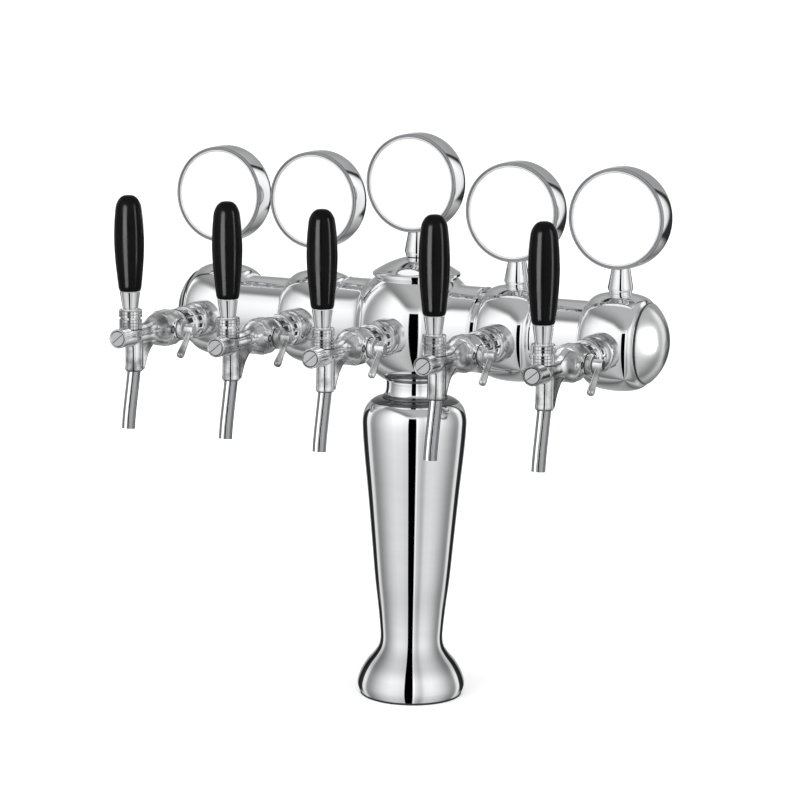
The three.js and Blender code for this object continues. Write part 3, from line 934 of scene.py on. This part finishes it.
spoutSet = {
    "path": [(-168.9, 333), (-170.6, 321), (-172.6, 311), (-174.8, 301), (-177, 291), (-179, 281.5),
             (-180.4, 273), (-181, 267)],
    "radius": 6, "bore": 4.8, "sides": 40,
}


def makeSpout(s):
    # a ring drawn along the bent path, then given its wall
    path = smooth([(0, y, z) for y, z in s["path"]], 5)
    tube = bmesh.new()
    made = bmesh.ops.create_circle(tube, segments=s["sides"], radius=s["radius"] * mm)
    ring = made["verts"]
    edges = list({edge for vert in ring for edge in vert.link_edges})
    last = len(path) - 1
    lean = [(path[min(index + 1, last)] - path[max(index - 1, 0)]).normalized() for index in range(last + 1)]
    tip = Vector((0, 0, 1)).rotation_difference(lean[0]).to_matrix().to_4x4()
    bmesh.ops.transform(tube, matrix=Matrix.Translation(path[0] * mm) @ tip, verts=ring)
    for index in range(1, len(path)):
        grown = bmesh.ops.extrude_edge_only(tube, edges=edges)["geom"]
        ring = [item for item in grown if isinstance(item, bmesh.types.BMVert)]
        edges = [item for item in grown if isinstance(item, bmesh.types.BMEdge)]
        turn = lean[index - 1].rotation_difference(lean[index]).to_matrix()
        bmesh.ops.rotate(tube, verts=ring, cent=path[index - 1] * mm, matrix=turn)
        bmesh.ops.translate(tube, verts=ring, vec=(path[index] - path[index - 1]) * mm)
    bmesh.ops.recalc_face_normals(tube, faces=tube.faces)
    bmesh.ops.solidify(tube, geom=tube.faces[:], thickness=(s["radius"] - s["bore"]) * mm)
    return tube


leverSet = {
    "cone": [(0, 376), (6.9, 377), (7.2, 377.6), (7.3, 379), (9.3, 392.4), (9.4, 393.2), (9.0, 393.5),
             (0, 393.5)],
    "ballRadius": 7.5, "ballZ": 373.5, "lean": 1.8, "pivot": (0, -176.6, 373.5),
}
gripSet = {
    "outline": [(10.1, 0), (11.8, 16), (12.9, 28), (13.5, 40), (13.6, 48), (13.1, 62), (12.1, 73)],
    "crown": [(12.1, 73), (11.4, 77.6), (10, 81.4), (7.8, 84.6), (4.6, 86.8), (0, 87.4)],
    "low": 393.8,
}


def leaning(shape, s):
    pivot = Matrix.Translation(Vector(s["pivot"]) * mm)
    turn = Matrix.Rotation(math.radians(s["lean"]), 4, "X")
    bmesh.ops.transform(shape, matrix=pivot @ turn @ pivot.inverted(), verts=shape.verts)
    return shape


def makeLever(s):
    y = castingSet["handleY"]
    cone = spun(s["cone"], "Z", (0, y, 0), steps=64)
    rows = arc((0, s["ballZ"] - s["ballRadius"]), (5.6, s["ballZ"] + 5), 3.98, 16) + [(0, s["ballZ"] + 5)]
    ball = spun(rows, "Z", (0, y, 0), steps=48)
    return leaning(joined(cone, ball), s)


def makeGrip(s):
    outline = [(0, 0.3), (9.2, 0), (9.7, 0.5)] + smooth(s["outline"])[1:] + smooth(s["crown"], 5)[1:]
    rows = [(r, z + s["low"]) for r, z in outline]
    return leaning(spun(rows, "Z", (0, castingSet["handleY"], 0), steps=64), leverSet)


flowSet = {
    "hub": [(0, 21.9), (4.6, 21.9), (5.2, 22.5), (5.2, 24), (4.7, 24.4), (4.7, 25.2), (5.2, 25.6),
            (5.2, 30.2), (4.4, 31), (0, 31)],
    "rod": [(0, 2), (2.3, 2), (2.5, -5), (2.8, -14), (3.2, -23), (3.5, -27), (3.2, -29.4), (1.9, -30.5),
            (0, -30.7)],
    "x": 27, "angle": 41,
}


def makeFlowLever(s):
    hub = spun(s["hub"], "X", (0, castingSet["chestY"], tapZ), steps=40)
    rod = spun([s["rod"][0]] + smooth(s["rod"][1:]), "Z", (0, 0, 0), steps=32)
    place = Matrix.Translation(Vector((s["x"], castingSet["chestY"], tapZ)) * mm)
    turn = Matrix.Rotation(math.radians(-s["angle"]), 4, "X")
    bmesh.ops.transform(rod, matrix=place @ turn, verts=rod.verts)
    return joined(hub, rod)


tapPieces = [
    ("tapCasting", makeCasting(castingSet), [castChrome], "tower", "tap_body_%d"),
    ("frontPlug", makePlug(plugSet), [turnedSteel, slotShadeAndJointDark], "tower", None),
    ("jointLines", makeSeams(seamRings), [slotShadeAndJointDark], "tower", None),
    ("knurledBonnet", makeBonnet(bonnetSet), [castChrome, rimChrome], "tower", None),
    ("couplingNut", makeNut(nutSet), [castChrome, slotShadeAndJointDark], "tower", "tap_shank_%d"),
    ("spoutTube", makeSpout(spoutSet), [spoutSteel], "tower", "tap_spout_%d"),
    ("handleFerrule", makeLever(leverSet), [mirror], "handle_%d", "handle_lever_%d"),
    ("handleGrip", makeGrip(gripSet), [gripPlastic], "handle_%d", "handle_grip_%d"),
    ("flowLever", makeFlowLever(flowSet), [castChrome], "flow_control_%d", "flow_lever_%d"),
]


def setOut(name, shape, materials, body, node):
    # one copy of the piece on each tap
    model = asObject(name, shape, materials)
    for number in taps:
        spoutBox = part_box("tap_spout_%d" % number)
        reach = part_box("tap_body_%d" % number)[0].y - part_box("tap_body_1")[0].y
        mesh = model.data.copy()
        mesh.transform(Matrix.Translation(((spoutBox[0].x + spoutBox[1].x) / 2, reach, 0)))
        piece = bpy.data.objects.new("%s%d" % (name, number), mesh)
        bpy.context.collection.objects.link(piece)
        settle(piece, body % number if "%d" in body else body, *([node % number] if node else []))
    bpy.data.objects.remove(model)


for row in tapPieces:
    setOut(*row)
print("taps made")


# Lights for single finishes, and what stays out of the mirrored picture.

def named(*starts):
    return [piece for piece in bpy.data.objects if piece.name.startswith(starts)]


panelDistance = 1.5


def makePanel(name, turn, height, size, energy, receivers, aim):
    # an area light, turn degrees round from the camera, that shows only in the gloss of its receivers
    data = bpy.data.lights.new(name, "AREA")
    data.shape = "RECTANGLE"
    data.size, data.size_y = size
    data.energy = energy
    panel = bpy.data.objects.new(name, data)
    bpy.context.collection.objects.link(panel)
    angle = cameraSet["azimuth"] + math.radians(turn)
    panel.location = aim + Vector((math.sin(angle), -math.cos(angle), height)) * panelDistance
    panel.rotation_euler = (panel.location - aim).to_track_quat("Z", "Y").to_euler()
    lit = bpy.data.collections.new(name + "Lit")
    for piece in receivers:
        lit.objects.link(piece)
    panel.light_linking.receiver_collection = lit
    panel.visible_diffuse = False


gripAim = Vector((0, -0.17, 0.43))
makePanel("gripStripLeft", -33, 0.0, (0.8, 1.5), 150, named("handleGrip"), gripAim)
makePanel("gripStripRight", 63, 0.1, (0.32, 1.5), 34, named("handleGrip"), gripAim)
makePanel("spoutGlow", -57, 0.0, (1.1, 1.6), 14, named("spoutTube"), gripAim)
capAim = middle("right_end_cap") * mm
makePanel("domeGlow", 72, 0.06, (0.8, 0.8), 18, named("rightendcapDome"), capAim)
for piece in named("spoutTube", "handle", "flowLever", "frontPlug", "jointLines", "knurledBonnet",
                   "couplingNut", "tapCasting"):
    piece.visible_glossy = False


# Inner pieces keep their CAD shape.

for node in ["clamp_ring", "cooling_line"] + ["tap_piston_%d" % number for number in taps]:
    solid = frame["nodes"][node]
    solid.data.materials.clear()
    solid.data.materials.append(turnedSteel)
    solid.visible_glossy = False

print("finished")
